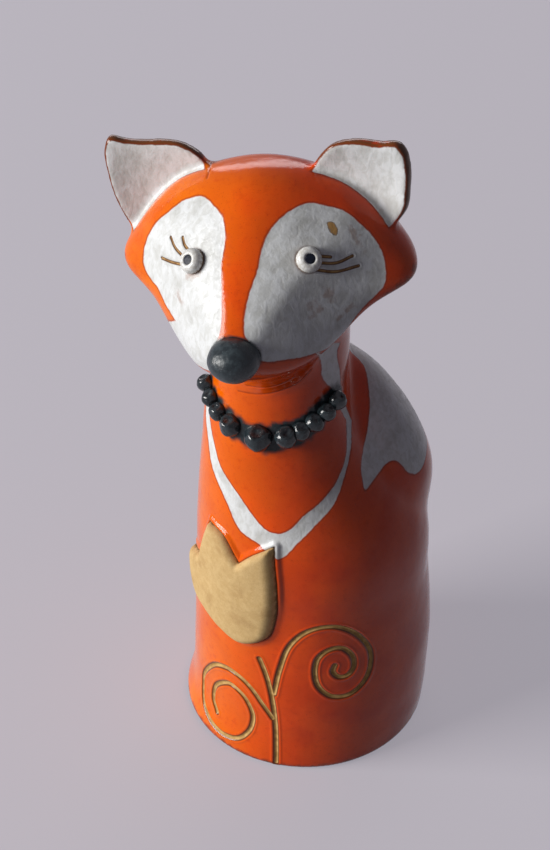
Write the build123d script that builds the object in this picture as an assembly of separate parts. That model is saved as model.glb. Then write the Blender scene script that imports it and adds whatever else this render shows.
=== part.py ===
from build123d import *
import math
import os

# A hand-built fired clay fox that sits upright. The origin is the centre of the round foot,
# the fox looks along -Y, +X is its left side and +Z is up. All sizes are in millimetres.

# Hollow body: a leaning cone of slab clay on a round slab foot, that narrows to an open neck
foot_radius = 34.6
body_height = 125.0
wall = 5.0
neck_side_lean = -5.5
neck_front_lean = 8.0

# Foot: a round slab with a vent near the back, where the air leaves in the kiln
foot_thickness = 5.0
vent_radius = 7.0
vent_back = 14.0

# Each level of the body: share of its height, of the foot radius, of the side lean and of the
# front lean
body_level_shares = [
    (0.0, 1.0, 0.0, 0.0),
    (0.064, 0.982, -0.24, 0.0),
    (0.2, 0.971, -0.38, -0.03),
    (0.4, 0.934, -0.34, 0.06),
    (0.6, 0.873, -0.29, 0.37),
    (0.704, 0.745, 0.23, 0.65),
    (0.784, 0.634, 0.75, 0.86),
    (0.856, 0.56, 1.0, 0.97),
    (0.944, 0.509, 1.0, 1.0),
    (1.0, 0.509, 1.0, 1.0),
]

# Head: the middle of the line between its two cheek tips is placed from the top of the neck
head_rise = 30.8
head_side_step = -0.6
head_front_step = 8.1
head_roll = 6.3
cheek_reach = 36.5
snout_reach = 31.0
nape_reach = 25.5
crown_rise = 25.0
throat_drop = 33.0
left_jaw_lift = 4.0

# Each upright section of the head, nape first: share of the reach (of the nape where below
# zero, of the snout where above), crown height, then width and height of the brow, the temple,
# the cheek and the jaw, and throat depth, as shares of the crown rise, cheek reach and throat drop
head_section_shares = [
    (-1.0, -0.28, 0.1, -0.34, 0.15, -0.42, 0.17, -0.56, 0.14, 0.62, 0.74),
    (-0.95, 0.08, 0.2, -0.04, 0.32, -0.16, 0.38, -0.38, 0.32, 0.58, 0.86),
    (-0.84, 0.5, 0.27, 0.38, 0.48, 0.15, 0.56, -0.16, 0.45, 0.5, 0.93),
    (-0.55, 0.86, 0.42, 0.7, 0.7, 0.34, 0.8, -0.06, 0.56, 0.33, 0.94),
    (-0.2, 0.99, 0.51, 0.82, 0.85, 0.38, 0.96, -0.03, 0.6, 0.28, 0.91),
    (0.1, 0.99, 0.54, 0.72, 0.84, 0.32, 0.96, -0.05, 0.6, 0.29, 0.89),
    (0.32, 0.84, 0.49, 0.54, 0.65, 0.24, 0.74, -0.13, 0.56, 0.39, 0.85),
    (0.58, 0.52, 0.32, 0.36, 0.42, 0.16, 0.51, -0.29, 0.43, 0.48, 0.67),
    (0.84, 0.16, 0.19, 0.06, 0.25, -0.08, 0.31, -0.38, 0.24, 0.45, 0.5),
    (1.0, -0.12, 0.1, -0.16, 0.125, -0.24, 0.13, -0.34, 0.1, 0.32, 0.36),
]

# Hollow of the head: a thumbed-out room that opens down into the hollow neck
head_room_rise = 34.0
head_room_front_step = 3.0
head_room_half_width = 18.0
head_room_half_height = 13.0
head_room_half_depth = 13.0

# Nose: one ball of clay on the end of the snout, as wide as a share of the cheek reach
nose_width_share = 0.167
nose_half_height = 5.1
nose_half_depth = 5.8
nose_overhang = 1.4
nose_drop = 6.2
nose_side_step = 0.7

# Ears: curved slabs, each set on the brow along a base line
ear_height = 21.6
ear_thickness = 3.4
ear_bend_radius = 34.0
ear_root = 6.0
ear_side_shift = -1.3

# Inner and outer end of an ear's base line and the place that its tip leans towards: shares of
# the cheek reach, the nape reach and the crown rise
ear_inner_shares = (0.345, 0.447, 0.788)
ear_outer_shares = (0.866, 0.275, 0.1)
ear_lean_shares = (1.008, 0.275, 1.072)

# Ear outlines from the inner end over the tip to the outer end: share of the base line and
# share of the ear height above it
right_ear_shares = [
    (0.0, 0.0), (-0.05, 0.3), (0.02, 0.52), (0.13, 0.65), (0.27, 0.79), (0.38, 0.93),
    (0.48, 1.09), (0.58, 1.04), (0.76, 0.8), (0.89, 0.54), (0.96, 0.29), (1.0, 0.0),
]
left_ear_shares = [
    (0.0, 0.0), (-0.06, 0.32), (-0.05, 0.54), (0.08, 0.75), (0.25, 0.9), (0.37, 1.05),
    (0.47, 1.03), (0.57, 0.94), (0.73, 0.71), (0.82, 0.55), (0.85, 0.33), (0.86, 0.0),
]

# Eyes: pressed-on buttons, each with a drop of dark glaze
eye_radius = 3.0
eye_height = 2.4
left_eye_place = (15.2, 10.6)
right_eye_place = (-11.8, 9.9)
pupil_radius = 1.2
pupil_height = 0.7
pupil_seat = 0.5

# String of beads round the front of the neck, lowest at the throat: its ends hang below the top
# of the neck by one share of the body height, and the throat by a second share more
bead_radius = 2.3
near_bead_radius = 2.8
front_bead_radius = 3.4
bead_stand = 1.3
bead_ring_fall_share = 0.0344
bead_ring_drop_share = 0.0808
bead_drop_power = 1.5
front_bead_turn = 0.0
right_bead_turns = [-24.0, -38.0, -49.5, -61.0]
left_bead_turns = [21.0, 32.5, 43.5, 54.5, 65.5]

# Tulip: a slab of bare clay on the right of the chest
tulip_width = 35.4
tulip_height = 37.5
tulip_bottom = 43.4
tulip_turn = -31.0
tulip_shift = 0.8
tulip_thickness = 2.5

# Tulip outline, petal by petal and then round the cup: shares of its width and height
tulip_left_petal_shares = [(-0.5, 0.41), (-0.38, 0.47), (-0.27, 0.53)]
tulip_middle_rise_shares = [(-0.27, 0.53), (-0.17, 0.82), (-0.12, 0.94)]
tulip_middle_fall_shares = [(-0.12, 0.94), (0.07, 0.91), (0.16, 0.82), (0.21, 0.76)]
tulip_right_petal_shares = [(0.21, 0.76), (0.3, 0.86), (0.46, 1.0)]
tulip_cup_shares = [
    (0.46, 1.0), (0.5, 0.64), (0.475, 0.32), (0.42, 0.13), (0.21, 0.0),
    (0.02, 0.04), (-0.18, 0.09), (-0.36, 0.13), (-0.46, 0.25), (-0.5, 0.41),
]

# Tail: a thick brush that comes round from the back and climbs the left side to the nape
tail_bottom = 18.0
tail_top_gap = 5.0
tail_half_width = 15.5
tail_half_depth = 11.0
tail_sink = 7.6

# Each level of the tail: share of its height, share of a full turn about the body from the
# left side, share of its distance out from the body's axis, of its half width and half depth
tail_level_shares = [
    (0.0, 0.25, 1.13, 0.4, 0.38),
    (0.16, 0.238, 1.15, 0.68, 0.64),
    (0.33, 0.207, 1.09, 0.8, 0.79),
    (0.5, 0.13, 0.96, 0.93, 0.9),
    (0.66, 0.078, 0.83, 1.0, 1.0),
    (0.82, 0.083, 0.59, 0.87, 0.95),
    (0.93, 0.105, 0.39, 0.6, 0.7),
    (1.0, 0.13, 0.27, 0.3, 0.3),
]

full_turn = 360.0
right_angle = 90.0
neck_radius = body_level_shares[-1][1] * foot_radius
neck_top = (neck_side_lean, -neck_front_lean, body_height)
head_place = (Location(neck_top) * Location((head_side_step, -head_front_step, head_rise))
              * Rotation(0, -head_roll, 0))


def ball(half_x, half_y, half_z):
    """A ball with its own half size along each axis."""
    return scale(Sphere(half_x), by=(1, half_y / half_x, half_z / half_x))


def body_form(grow):
    """The outside of the body and neck, with every level grown by the given amount."""
    levels = []
    for up_share, radius_share, side_share, front_share in body_level_shares:
        centre = (side_share * neck_side_lean, -front_share * neck_front_lean,
                  up_share * body_height)
        levels.append(Plane(centre) * Circle(radius_share * foot_radius + grow))
    return loft(levels)


def make_foot(body_outside):
    """The round slab that the body's wall stands on, with its vent."""
    slab = body_outside & extrude(Circle(2 * foot_radius), foot_thickness)
    return slab - Plane((0, vent_back, 0)) * extrude(Circle(vent_radius), foot_thickness)


def make_body(body_outside):
    """The wall of the hollow body, from the foot to the open neck."""
    space = Plane((0, 0, foot_thickness)) * extrude(Circle(2 * foot_radius), body_height)
    return (body_outside - body_form(-wall)) & space


def head_section(reach_share, crown, brow_out, brow_up, temple_out, temple_up,
                 cheek_out, cheek_up, jaw_out, jaw_down, throat_down):
    """One upright section of the head, as a face."""
    reach = (snout_reach if reach_share > 0 else nape_reach) * reach_share
    side = [
        (brow_out * cheek_reach, brow_up * crown_rise),
        (temple_out * cheek_reach, temple_up * crown_rise),
        (cheek_out * cheek_reach, cheek_up * crown_rise),
    ]
    left_side = side + [(jaw_out * cheek_reach, jaw_out * left_jaw_lift - jaw_down * throat_drop)]
    right_side = side + [(jaw_out * cheek_reach, -jaw_down * throat_drop)]
    top = (0, crown * crown_rise)
    bottom = (0, -throat_down * throat_drop)
    rim = [top, *left_side, bottom, *[(-out, up) for out, up in reversed(right_side)]]
    plane = Plane((0, -reach, 0), x_dir=(1, 0, 0), z_dir=(0, -1, 0))
    return plane * make_face(Spline(*rim, periodic=True))


def head_form():
    """The solid head with the short neck that it stands on."""
    skull = head_place * loft([head_section(*shares) for shares in head_section_shares])
    neck = Plane(neck_top) * extrude(Circle(neck_radius), head_rise)
    space = Plane(neck_top) * extrude(Circle(body_height), body_height)
    return (skull + neck) & space


def head_hollow():
    """The room inside the head and the bore that opens it to the neck."""
    room = ball(head_room_half_width, head_room_half_depth, head_room_half_height)
    place = Location((head_side_step, -head_room_front_step, head_room_rise))
    bore = extrude(Circle(neck_radius - wall), head_room_rise)
    return Location(neck_top) * (place * room + bore)


def ear_corner(sign, shares):
    """One corner of an ear in the head's own frame."""
    side, back, up = shares
    return Vector(sign * side * cheek_reach + ear_side_shift, back * nape_reach, up * crown_rise)


def make_ear(sign, outline_shares, head):
    """A curved ear slab with the given outline, hollow side forward, cut to sit on the head."""
    inner, outer, lean = [ear_corner(sign, shares) for shares in
                          (ear_inner_shares, ear_outer_shares, ear_lean_shares)]
    base = outer - inner
    along = base.normalized()
    flat = Plane(inner, x_dir=along, z_dir=along.cross(lean - inner))
    rim = [(u * base.length, v * ear_height) for u, v in outline_shares]
    root = [rim[-1], (rim[-1][0], -ear_root), (0, -ear_root), rim[0]]
    blank = extrude(make_face(Spline(*rim) + Polyline(*root)), ear_bend_radius / 2, both=True)
    reach = 2 * (ear_height + ear_root)
    shell = Cylinder(ear_bend_radius, reach) - Cylinder(ear_bend_radius - ear_thickness, reach)
    bend = Location((base.length / 2, 0, sign * ear_bend_radius)) * Rotation(right_angle, 0, 0)
    return head_place * (flat * (blank & (bend * shell))) - head


def head_seat(side, up, head):
    """The point of the head's face straight behind a place given in the head's own frame."""
    start = head_place * Location((side, -2 * snout_reach, up))
    line = Axis(start.position, (0, 1, 0))
    hits = head.find_intersection_points(line)
    return min(hits, key=lambda hit: (hit[0] - line.position).length)


def make_eye(place, head):
    """An eye button on the face and the drop of glaze on it."""
    point, normal = head_seat(*place, head)
    seat = Plane(point, z_dir=normal)
    drop = seat.offset(eye_height - pupil_seat) * ball(pupil_radius, pupil_radius, pupil_height)
    return seat * ball(eye_radius, eye_radius, eye_height) - head - drop, drop


def make_nose(head):
    """The nose ball, cut to sit on the snout."""
    place = head_place * Location((nose_side_step, -snout_reach - nose_overhang, -nose_drop))
    return place * ball(nose_width_share * cheek_reach, nose_half_depth, nose_half_height) - head


def bead_ball(turn, radius):
    """A whole bead on the string, at a turn in degrees from the throat."""
    lower = bead_ring_drop_share * math.cos(math.radians(turn)) ** bead_drop_power
    drop = (bead_ring_fall_share + lower) * body_height
    place = Location(neck_top) * Location((0, 0, -drop), (0, 0, turn - right_angle))
    return place * Location((neck_radius + bead_stand, 0, 0), (0, right_angle, 0)) * Sphere(radius)


def make_beads(body):
    """The beads from the throat outwards, each cut to touch the neck and the bead before it."""
    front = bead_ball(front_bead_turn, front_bead_radius) - body
    beads = {"bead_front": front}
    for side, turns in (("right", right_bead_turns), ("left", left_bead_turns)):
        inner = front
        for number, turn in enumerate(turns, start=1):
            radius = near_bead_radius if number == 1 else bead_radius
            bead = bead_ball(turn, radius) - body - inner
            beads[f"bead_{side}_{number}"] = bead
            inner = bead
    return beads


def make_tulip(body_outside):
    """The tulip slab, wrapped on the body."""
    edges = []
    for shares in (tulip_left_petal_shares, tulip_middle_rise_shares, tulip_middle_fall_shares,
                   tulip_right_petal_shares, tulip_cup_shares):
        edges.append(Spline(*[(u * tulip_width, v * tulip_height) for u, v in shares]))
    angle = math.radians(tulip_turn)
    out = (math.sin(angle), -math.cos(angle), 0)
    across = (math.cos(angle), math.sin(angle), 0)
    middle = Vector(*across) * tulip_shift + Vector(0, 0, tulip_bottom)
    blank = Plane(middle, x_dir=across, z_dir=out) * extrude(make_face(edges), 2 * foot_radius)
    return (blank & body_form(tulip_thickness)) - body_outside


def make_tail(body_outside, head):
    """The tail, cut to sit on the back of the body."""
    rise = body_height - tail_top_gap - tail_bottom
    levels = []
    for up_share, turn_share, out_share, width_share, depth_share in tail_level_shares:
        place = Location((0, 0, tail_bottom + up_share * rise), (0, 0, turn_share * full_turn))
        levels.append(place * Location((out_share * (foot_radius - tail_sink), 0, 0))
                      * Ellipse(depth_share * tail_half_depth, width_share * tail_half_width))
    return loft(levels) - body_outside - head


def make_parts():
    """Every piece of the figurine by its node name."""
    body_outside = body_form(0)
    head = head_form()
    parts = {"foot": make_foot(body_outside), "body": make_body(body_outside)}
    parts["head"] = head - head_hollow()
    for side, sign, shares, place in (("left", 1, left_ear_shares, left_eye_place),
                                      ("right", -1, right_ear_shares, right_eye_place)):
        parts[f"ear_{side}"] = make_ear(sign, shares, head)
        parts[f"eye_{side}"], parts[f"pupil_{side}"] = make_eye(place, head)
    parts["nose"] = make_nose(head)
    parts.update(make_beads(body_outside))
    parts["tulip"] = make_tulip(body_outside)
    parts["tail"] = make_tail(body_outside, head)
    return parts


os.makedirs("parts", exist_ok=True)
for name, solid in make_parts().items():
    export_step(solid, f"parts/{name}.step")
    print(name, "solids", len(solid.solids()), "volume", round(solid.volume, 1))
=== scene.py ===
import math

import bmesh
import bpy
import numpy as np
import openvdb as vdb
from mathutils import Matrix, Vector, noise
from mathutils.bvhtree import BVHTree


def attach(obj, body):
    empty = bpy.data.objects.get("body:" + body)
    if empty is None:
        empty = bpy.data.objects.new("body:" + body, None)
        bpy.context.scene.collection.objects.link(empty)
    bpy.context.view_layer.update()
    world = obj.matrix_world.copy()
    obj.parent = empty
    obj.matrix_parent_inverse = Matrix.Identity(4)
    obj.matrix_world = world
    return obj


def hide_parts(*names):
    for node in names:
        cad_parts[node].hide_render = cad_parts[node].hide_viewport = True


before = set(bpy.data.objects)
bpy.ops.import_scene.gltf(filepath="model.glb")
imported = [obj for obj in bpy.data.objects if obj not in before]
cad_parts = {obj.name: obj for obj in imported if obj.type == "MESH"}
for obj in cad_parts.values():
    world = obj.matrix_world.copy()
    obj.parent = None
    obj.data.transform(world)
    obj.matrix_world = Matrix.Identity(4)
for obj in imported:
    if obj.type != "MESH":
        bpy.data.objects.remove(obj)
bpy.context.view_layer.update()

# The clay is shaped in millimetres, in the frame's own axes: the fox looks along -Y, +X is its
# left side. Each finished piece is scaled to metres.
metre = 0.001

# The photograph's camera
frame_width = 550
frame_height = 850
focal_pixels = 1861.0
sensor_size = 36.0
camera_place = (100.523, -375.155, 398.275)
camera_dip = 37.913
camera_heading = 16.28

# Grid that the clay is shaped on
voxel = 0.65
band_voxels = 11
grid_low = (-50, -52, -4)
grid_high = (50, 52, 192)

# Body: height, radius and centre of each level, below the foot first and up into the head
foot_radius = 34.6
wall = 5.0
foot_thickness = 5.0
vent_radius = 7.0
vent_back = 14.0
hollow_top = 112.0
body_levels = [
    (-9.0, 34.6, 0.0, 0.0), (0.0, 34.6, 0.0, 0.0), (8.0, 33.9, 1.3, 0.0), (25.0, 33.6, 2.1, 0.2),
    (50.0, 32.3, 1.9, -0.5), (75.0, 30.2, 1.6, -3.0), (88.0, 25.8, -1.3, -5.2),
    (98.0, 21.9, -4.1, -6.9), (107.0, 19.4, -5.5, -7.8), (118.0, 17.6, -5.5, -8.0),
    (125.0, 17.6, -5.5, -8.0), (140.0, 17.6, -5.5, -9.0),
]
neck_top = (-5.5, -8.0, 125.0)
neck_radius = 17.6
foot_rounding = 1.6
rim_rounding = 1.2

# Head: its place, tilt and sizes
head_centre = (-6.1, -16.1, 155.8)
head_roll = 6.3
cheek_reach = 36.5
snout_reach = 31.0
nape_reach = 25.5
crown_rise = 25.0
throat_drop = 33.0
left_jaw_lift = 4.0

# Each upright section of the head, nape first: share of the reach, crown height, width and
# height of the brow, the temple, the cheek and the jaw, and throat depth
head_section_shares = [
    (-1.0, -0.28, 0.1, -0.34, 0.15, -0.42, 0.17, -0.56, 0.14, 0.62, 0.74),
    (-0.95, 0.08, 0.2, -0.04, 0.32, -0.16, 0.38, -0.38, 0.32, 0.58, 0.86),
    (-0.84, 0.5, 0.27, 0.38, 0.48, 0.15, 0.56, -0.16, 0.45, 0.5, 0.93),
    (-0.55, 0.86, 0.42, 0.7, 0.7, 0.34, 0.8, -0.06, 0.56, 0.33, 0.94),
    (-0.2, 0.99, 0.51, 0.82, 0.85, 0.38, 0.96, -0.03, 0.6, 0.28, 0.91),
    (0.1, 0.99, 0.54, 0.72, 0.84, 0.32, 0.96, -0.05, 0.6, 0.29, 0.89),
    (0.32, 0.84, 0.49, 0.54, 0.65, 0.24, 0.74, -0.13, 0.56, 0.39, 0.85),
    (0.58, 0.52, 0.32, 0.36, 0.42, 0.16, 0.51, -0.29, 0.43, 0.48, 0.67),
    (0.84, 0.16, 0.19, 0.06, 0.25, -0.08, 0.31, -0.38, 0.24, 0.45, 0.5),
    (1.0, -0.12, 0.1, -0.16, 0.125, -0.24, 0.13, -0.34, 0.1, 0.32, 0.36),
]

# Ears: the ends of each base line, the place the tip leans towards, and the outlines as shares
# of the base line and of the ear's height
ear_inner = (12.6, 11.4, 19.7)
ear_outer = (31.6, 7.0, 2.5)
ear_lean = (36.8, 7.0, 26.8)
ear_side_shift = -1.3
ear_height = 21.6
ear_thickness = 3.4
ear_bend_radius = 34.0
ear_root = 6.0
right_ear_shares = [
    (0.0, 0.0), (-0.05, 0.3), (0.02, 0.52), (0.13, 0.65), (0.27, 0.79), (0.38, 0.93),
    (0.48, 1.09), (0.58, 1.04), (0.76, 0.8), (0.89, 0.54), (0.96, 0.29), (1.0, 0.0),
]
left_ear_shares = [
    (0.0, 0.0), (-0.06, 0.32), (-0.05, 0.54), (0.08, 0.75), (0.25, 0.9), (0.37, 1.05),
    (0.47, 1.03), (0.57, 0.94), (0.73, 0.71), (0.82, 0.55), (0.85, 0.33), (0.86, 0.0),
]

# The white on an ear: how far it stays from the slab's edge, how far it reaches below the base
# line, and how far behind and before the slab's front
ear_edge_width = 0.6
ear_white_below = 0.2
ear_white_behind = 1.3
ear_white_before = 1.5

# Tail: height, turn about the body from the left side, distance out, half width, half depth
tail_levels = [
    (18.0, 90.0, 30.5, 6.2, 4.2), (34.3, 85.7, 31.1, 10.5, 7.0), (51.7, 74.5, 29.4, 12.4, 8.7),
    (69.0, 46.8, 25.9, 14.4, 9.9), (85.3, 28.1, 22.4, 15.5, 11.0), (101.6, 29.9, 15.9, 13.5, 10.4),
    (112.9, 37.8, 10.5, 9.3, 7.7), (120.0, 46.8, 7.3, 4.7, 3.3),
]

# How softly the clay parts run into each other, and how far small bumps are smoothed away
head_join = 6.0
tail_join = 5.0
ear_join = 1.8
head_softening = 0.9
ear_softening = 0.5
bend_softening = 0.9

# Nose, eyes and beads. Profiles are pairs of radius and height over the seat. A bead's turn is
# in degrees from the throat, with its radius, and its dimple lies outward and up from its middle
nose_place = (0.7, -32.4, -6.2)
nose_half_sizes = (6.1, 5.8, 5.1)
eye_radius = 3.0
eye_places = {"left": (15.2, 10.6), "right": (-11.8, 9.9)}
button_profile = [
    (2.9, -0.9), (3.0, 0.1), (2.98, 0.9), (2.8, 1.55), (2.4, 2.05), (1.9, 2.32), (1.5, 2.36),
    (1.2, 2.2), (0.9, 1.95), (0.5, 1.85), (0.05, 1.82),
]
pupil_profile = [
    (1.1, 1.6), (1.34, 2.02), (1.26, 2.18), (0.9, 2.28), (0.4, 2.33), (0.03, 2.34),
]
bead_stand = 1.3
bead_ring_fall = 4.3
bead_ring_drop = 10.1
bead_drop_power = 1.5
bead_string_ends = (-63.0, 66.0)
bead_fullness = 1.07
bead_dimple_out, bead_dimple_up = 0.45, 0.85
bead_dimple_depth = 0.2
bead_dimple_rim = 0.05
bead_turns = {
    "bead_front": (0.0, 3.4), "bead_right_1": (-24.0, 2.8), "bead_right_2": (-38.0, 2.3),
    "bead_right_3": (-49.5, 2.3), "bead_right_4": (-61.0, 2.3), "bead_left_1": (21.0, 2.8),
    "bead_left_2": (32.5, 2.3), "bead_left_3": (43.5, 2.3), "bead_left_4": (54.5, 2.3),
    "bead_left_5": (65.5, 2.3),
}

# Tulip: its size and place, its roundings, the grid that it is shaped on, and its outline in
# shares of its width and height
tulip_width = 35.4
tulip_height = 37.5
tulip_bottom = 43.4
tulip_turn = -31.0
tulip_shift = 0.8
tulip_thickness = 2.5
tulip_rounding = 2.1
tulip_back_rounding = 0.3
tulip_sink = 0.8
tulip_span_out = (20.0, 42.0)
tulip_voxel = 0.4
tulip_outline_shares = [
    [(-0.5, 0.41), (-0.38, 0.47), (-0.27, 0.53)],
    [(-0.27, 0.53), (-0.17, 0.82), (-0.12, 0.94)],
    [(-0.12, 0.94), (0.07, 0.91), (0.16, 0.82), (0.21, 0.76)],
    [(0.21, 0.76), (0.3, 0.86), (0.46, 1.0)],
    [(0.46, 1.0), (0.5, 0.64), (0.475, 0.32), (0.42, 0.13), (0.21, 0.0),
     (0.02, 0.04), (-0.18, 0.09), (-0.36, 0.13), (-0.46, 0.25), (-0.5, 0.41)],
]

# Uneven places of the hand-formed skins: height, size and seed of each run of lumps. The nose's
# heights are shares of its size
body_waves = [(0.24, 17.0, 1), (0.07, 6.0, 2)]
tulip_waves = [(0.24, 9.0, 11), (0.04, 2.5, 12)]
nose_waves = [(0.035, 4.5, 31), (0.012, 1.6, 32)]

# Carved lines: depth and half width of the groove, then height, distance and half width of the
# bank that it throws up
carved_lines = {
    "score": (0.5, 1.0, 0.12, 1.3, 0.5), "lash": (0.28, 0.6, 0.06, 0.8, 0.35),
    "crease": (0.16, 0.5, 0.0, 0.8, 0.35),
}
white_step = 0.1
tulip_ridge = 0.75
tulip_ridge_below = 0.35
string_swell = 0.5

# The slate's smears round the beads and the nose: their uneven edges, and the distances between
# which they fade. The nose's are shares of its size. Round the beads they spread wider on the
# fox's left
bead_smear_waves = [(1.2, 2.2, 5)]
bead_smear_fade = (2.6, 4.0)
bead_smear_spread = 0.9
nose_smear_waves = [(0.03, 2.0, 6)]
nose_smear_fade = (1.02, 1.12)

# How far from an edge, a line or a stain its distance is kept
edge_reach = 4.0
stain_reach = 1.6
smudge_and_shadow_reach = 3.0
string_reach = 8.0

# The mesh is split near lines, once and once more, and thinned on the hidden inner wall. Skin is
# what lies closer to the outside than the wall less a margin
first_split = 2.2
second_split = 1.3
inner_thinning = 0.9
thinned_above = 4.0
thinned_margin = 0.6
skin_margin = 0.5
clear_of_body = 60.0

# Edges of the glazes and lines scored in the clay, placed by the photograph's pixels. Left and
# right are the picture's here
right_patch = [
    (324, 205), (310, 203), (294, 209), (277, 222), (265, 240), (260, 257), (257, 273),
    (251, 289), (246, 308), (244, 324), (245, 335), (253, 348), (261, 360), (284, 360),
    (302, 357), (316, 353), (330, 347), (342, 337), (348, 328), (361, 310), (375, 296),
    (385, 284), (386, 273), (381, 249), (372, 235), (359, 222), (344, 211),
]
left_patch_inner = [
    (192, 197), (202, 196), (214, 206), (222, 217), (225, 232), (224.5, 247), (222, 260),
    (222, 296), (219.5, 334), (214, 350), (212, 357),
]
left_patch_outer = [
    (176, 321), (171, 313), (165, 303), (158, 288), (149, 276), (144, 265), (144, 250), (148, 237),
    (156, 223), (170, 211), (182, 201),
]
right_patch_under = right_patch[11:19] + [(354, 320)]
strip_inner = [(312, 350), (320, 358), (322, 368), (322, 376), (332, 389)]
strip_outer = [(340, 343), (338, 347), (337, 351), (340, 370), (341, 384)]
collar_inner = [
    (347, 420), (346, 454), (335, 484), (320, 503), (303, 517), (290, 530), (280, 534),
    (268, 531), (253, 516), (239, 496), (220, 466), (212, 436),
]
collar_outer = [
    (207, 432), (211, 463), (227, 503), (242, 532), (258, 543), (268, 550), (280, 558),
    (297, 544), (316, 525), (334, 504), (344, 477), (351, 446), (352, 420),
]
tail_edge = [
    (352, 352), (364, 365), (369, 389), (370, 403), (367, 433), (364, 447), (361, 469),
    (363, 482), (365, 491),
]
tail_teeth = [
    (365, 491), (370, 485), (378, 474), (389, 462), (394, 460), (400, 463), (408, 472),
    (415, 474), (421, 469), (425, 458), (427, 444), (427, 434),
]

# The left patch's hidden under edge is the right one's, mirrored and lower by the drop. Places
# under the jaw's height are on the neck behind it
left_patch_drop = 5.5
jaw_height = 142.0

# Hidden edges on the body's rolled-out surface: turn from its front times the foot's radius, and
# height
tail_edge_behind = [
    (76.0, 91.5), (80.0, 95.5), (84.0, 94.0), (88.0, 88.0), (92.0, 84.5), (95.0, 85.5),
    (98.0, 90.0), (102.0, 92.0), (100.5, 97.0), (96.0, 101.5), (93.0, 106.5), (91.5, 111.5),
    (89.0, 116.5), (84.0, 121.0), (78.0, 122.0),
]
collar_inner_behind = [
    (-34.0, 110.0), (-38.0, 115.5), (-40.5, 121.0), (-41.0, 125.5), (-42.0, 129.5),
]
collar_outer_behind = [
    (-45.0, 131.0), (-48.0, 129.5), (-49.0, 125.0), (-46.5, 117.5), (-41.0, 110.5),
]

# Stains, smudges and a painted shadow, scored lines, lashes and creases, by the photograph's
# pixels
stain_lines = [[(332, 225), (335, 231)]]
# Brown smudges on the white; the third, under the eye on the picture's left, is a painted shadow
# of the eye button.
smudge_and_shadow_lines = [
    [(313, 308), (316, 314), (319, 311)], [(326, 292), (331, 296)], [(189, 276), (197, 272)],
    [(176, 296), (180, 298)], [(352, 228), (362, 246)], [(340, 318), (352, 308)],
]
stem_line = [(276, 772), (276, 766), (275, 720), (273, 703), (268, 681), (263, 667), (259.5, 659)]
right_tendril = [
    (274, 694), (280, 669), (290, 646), (304, 634), (321, 628), (342, 628), (359, 636),
    (370, 650), (370, 669), (361, 686), (346, 696), (330, 696), (318, 686), (315, 672),
    (318, 659), (330, 650), (344, 649), (353, 657), (354, 667), (347, 676), (338, 677),
    (333, 672), (335, 666),
]
left_tendril = [
    (273, 719), (263, 705), (251, 688), (239, 676), (225, 667), (213, 665), (205, 671),
    (203, 686), (205, 707), (213, 724), (225, 735), (239, 738), (249, 731), (253, 719),
    (248, 703), (239, 691), (227, 683), (216, 685), (213, 696), (217, 712),
]
lash_lines = [
    [(161, 258), (170, 262), (184, 265)], [(170, 237), (174, 247), (183, 257)],
    [(182, 237), (184, 245), (188, 250)], [(319, 256), (331, 257)],
    [(320, 263), (337, 263), (353, 256)], [(317, 270), (334, 272), (359, 266)],
]
crease_lines = [
    [(238, 391), (252, 394), (268, 394), (284, 390), (300, 382), (312, 370)],
    [(246, 386), (262, 388), (280, 385), (296, 377)],
    [(212, 158), (210, 168), (207, 178)],
]

# Stage: the lamps' places in metres, sizes, powers and colours, and how bright the floor and the
# world look to the camera
lamps = {
    "window": ((-2.6, -1.5, 1.1), 1.8, 1.2, 128.0, (1.0, 0.98, 0.95)),
    "far_window": ((-0.45, 2.25, 0.9), 2.4, 0.65, 14.0, (1.0, 0.93, 0.95)),
}
lamp_aim = (0.0, 0.0, 0.1)
floor_half = 12.0
ambient_strength = 0.12
seen_floor = 0.4
seen_world = 0.42
seen_paint = (226, 222, 234)
ambient_paint = (200, 196, 214)
floor_paint = (120, 118, 124)
lit_floor_paint = (152, 148, 153)

# Pieces of the clay: glaze slot, then the CAD nodes that each replaces
clay_pieces = {
    "body": ("orange_glaze", "body", "foot"), "head": ("orange_glaze", "head"),
    "tail": ("orange_glaze", "tail"), "ear_left": ("white_glaze", "ear_left"),
    "ear_right": ("white_glaze", "ear_right"),
}

upward = np.array([0.0, 0.0, 1.0])


def between_knots(knots, rows, at):
    """Rows of numbers given at knots, read by a smooth curve at other places."""
    knots = np.asarray(knots, float)
    rows = np.asarray(rows, float)
    flat = rows.reshape(len(rows), -1)
    slope = np.gradient(flat, knots, axis=0)
    span = np.clip(np.searchsorted(knots, at, side="right") - 1, 0, len(knots) - 2)
    width = (knots[span + 1] - knots[span])[:, None]
    t = ((at - knots[span])[:, None]) / width
    start, end = flat[span], flat[span + 1]
    curve = ((2 * t**3 - 3 * t**2 + 1) * start + (t**3 - 2 * t**2 + t) * width * slope[span]
             + (3 * t**2 - 2 * t**3) * end + (t**3 - t**2) * width * slope[span + 1])
    return curve.reshape((len(at),) + rows.shape[1:])


def smooth_loop(points, count):
    """A closed outline through the given points, resampled evenly along each stretch."""
    points = np.asarray(points, float)
    closed = np.vstack([points[-2:], points, points[:3]])
    knots = np.arange(len(closed), dtype=float)
    return between_knots(knots, closed, np.linspace(2, 2 + len(points), count, endpoint=False))


def smooth_line(points, step):
    """An open line through the given points, resampled about every step of its length."""
    points = np.asarray(points, float)
    knots = np.concatenate([[0.0], np.cumsum(np.linalg.norm(np.diff(points, axis=0), axis=1))])
    return between_knots(knots, points, np.linspace(0.0, knots[-1], 2 + int(knots[-1] / step)))


def ramp(values, low, high):
    """Zero below low and one above high, with a soft step between."""
    t = np.clip((values - low) / (high - low), 0.0, 1.0)
    return t * t * (3.0 - 2.0 * t)


def bell(values, width):
    """One at zero, fading to nothing at the given width."""
    return 1.0 - ramp(np.abs(values), 0.0, width)


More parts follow.
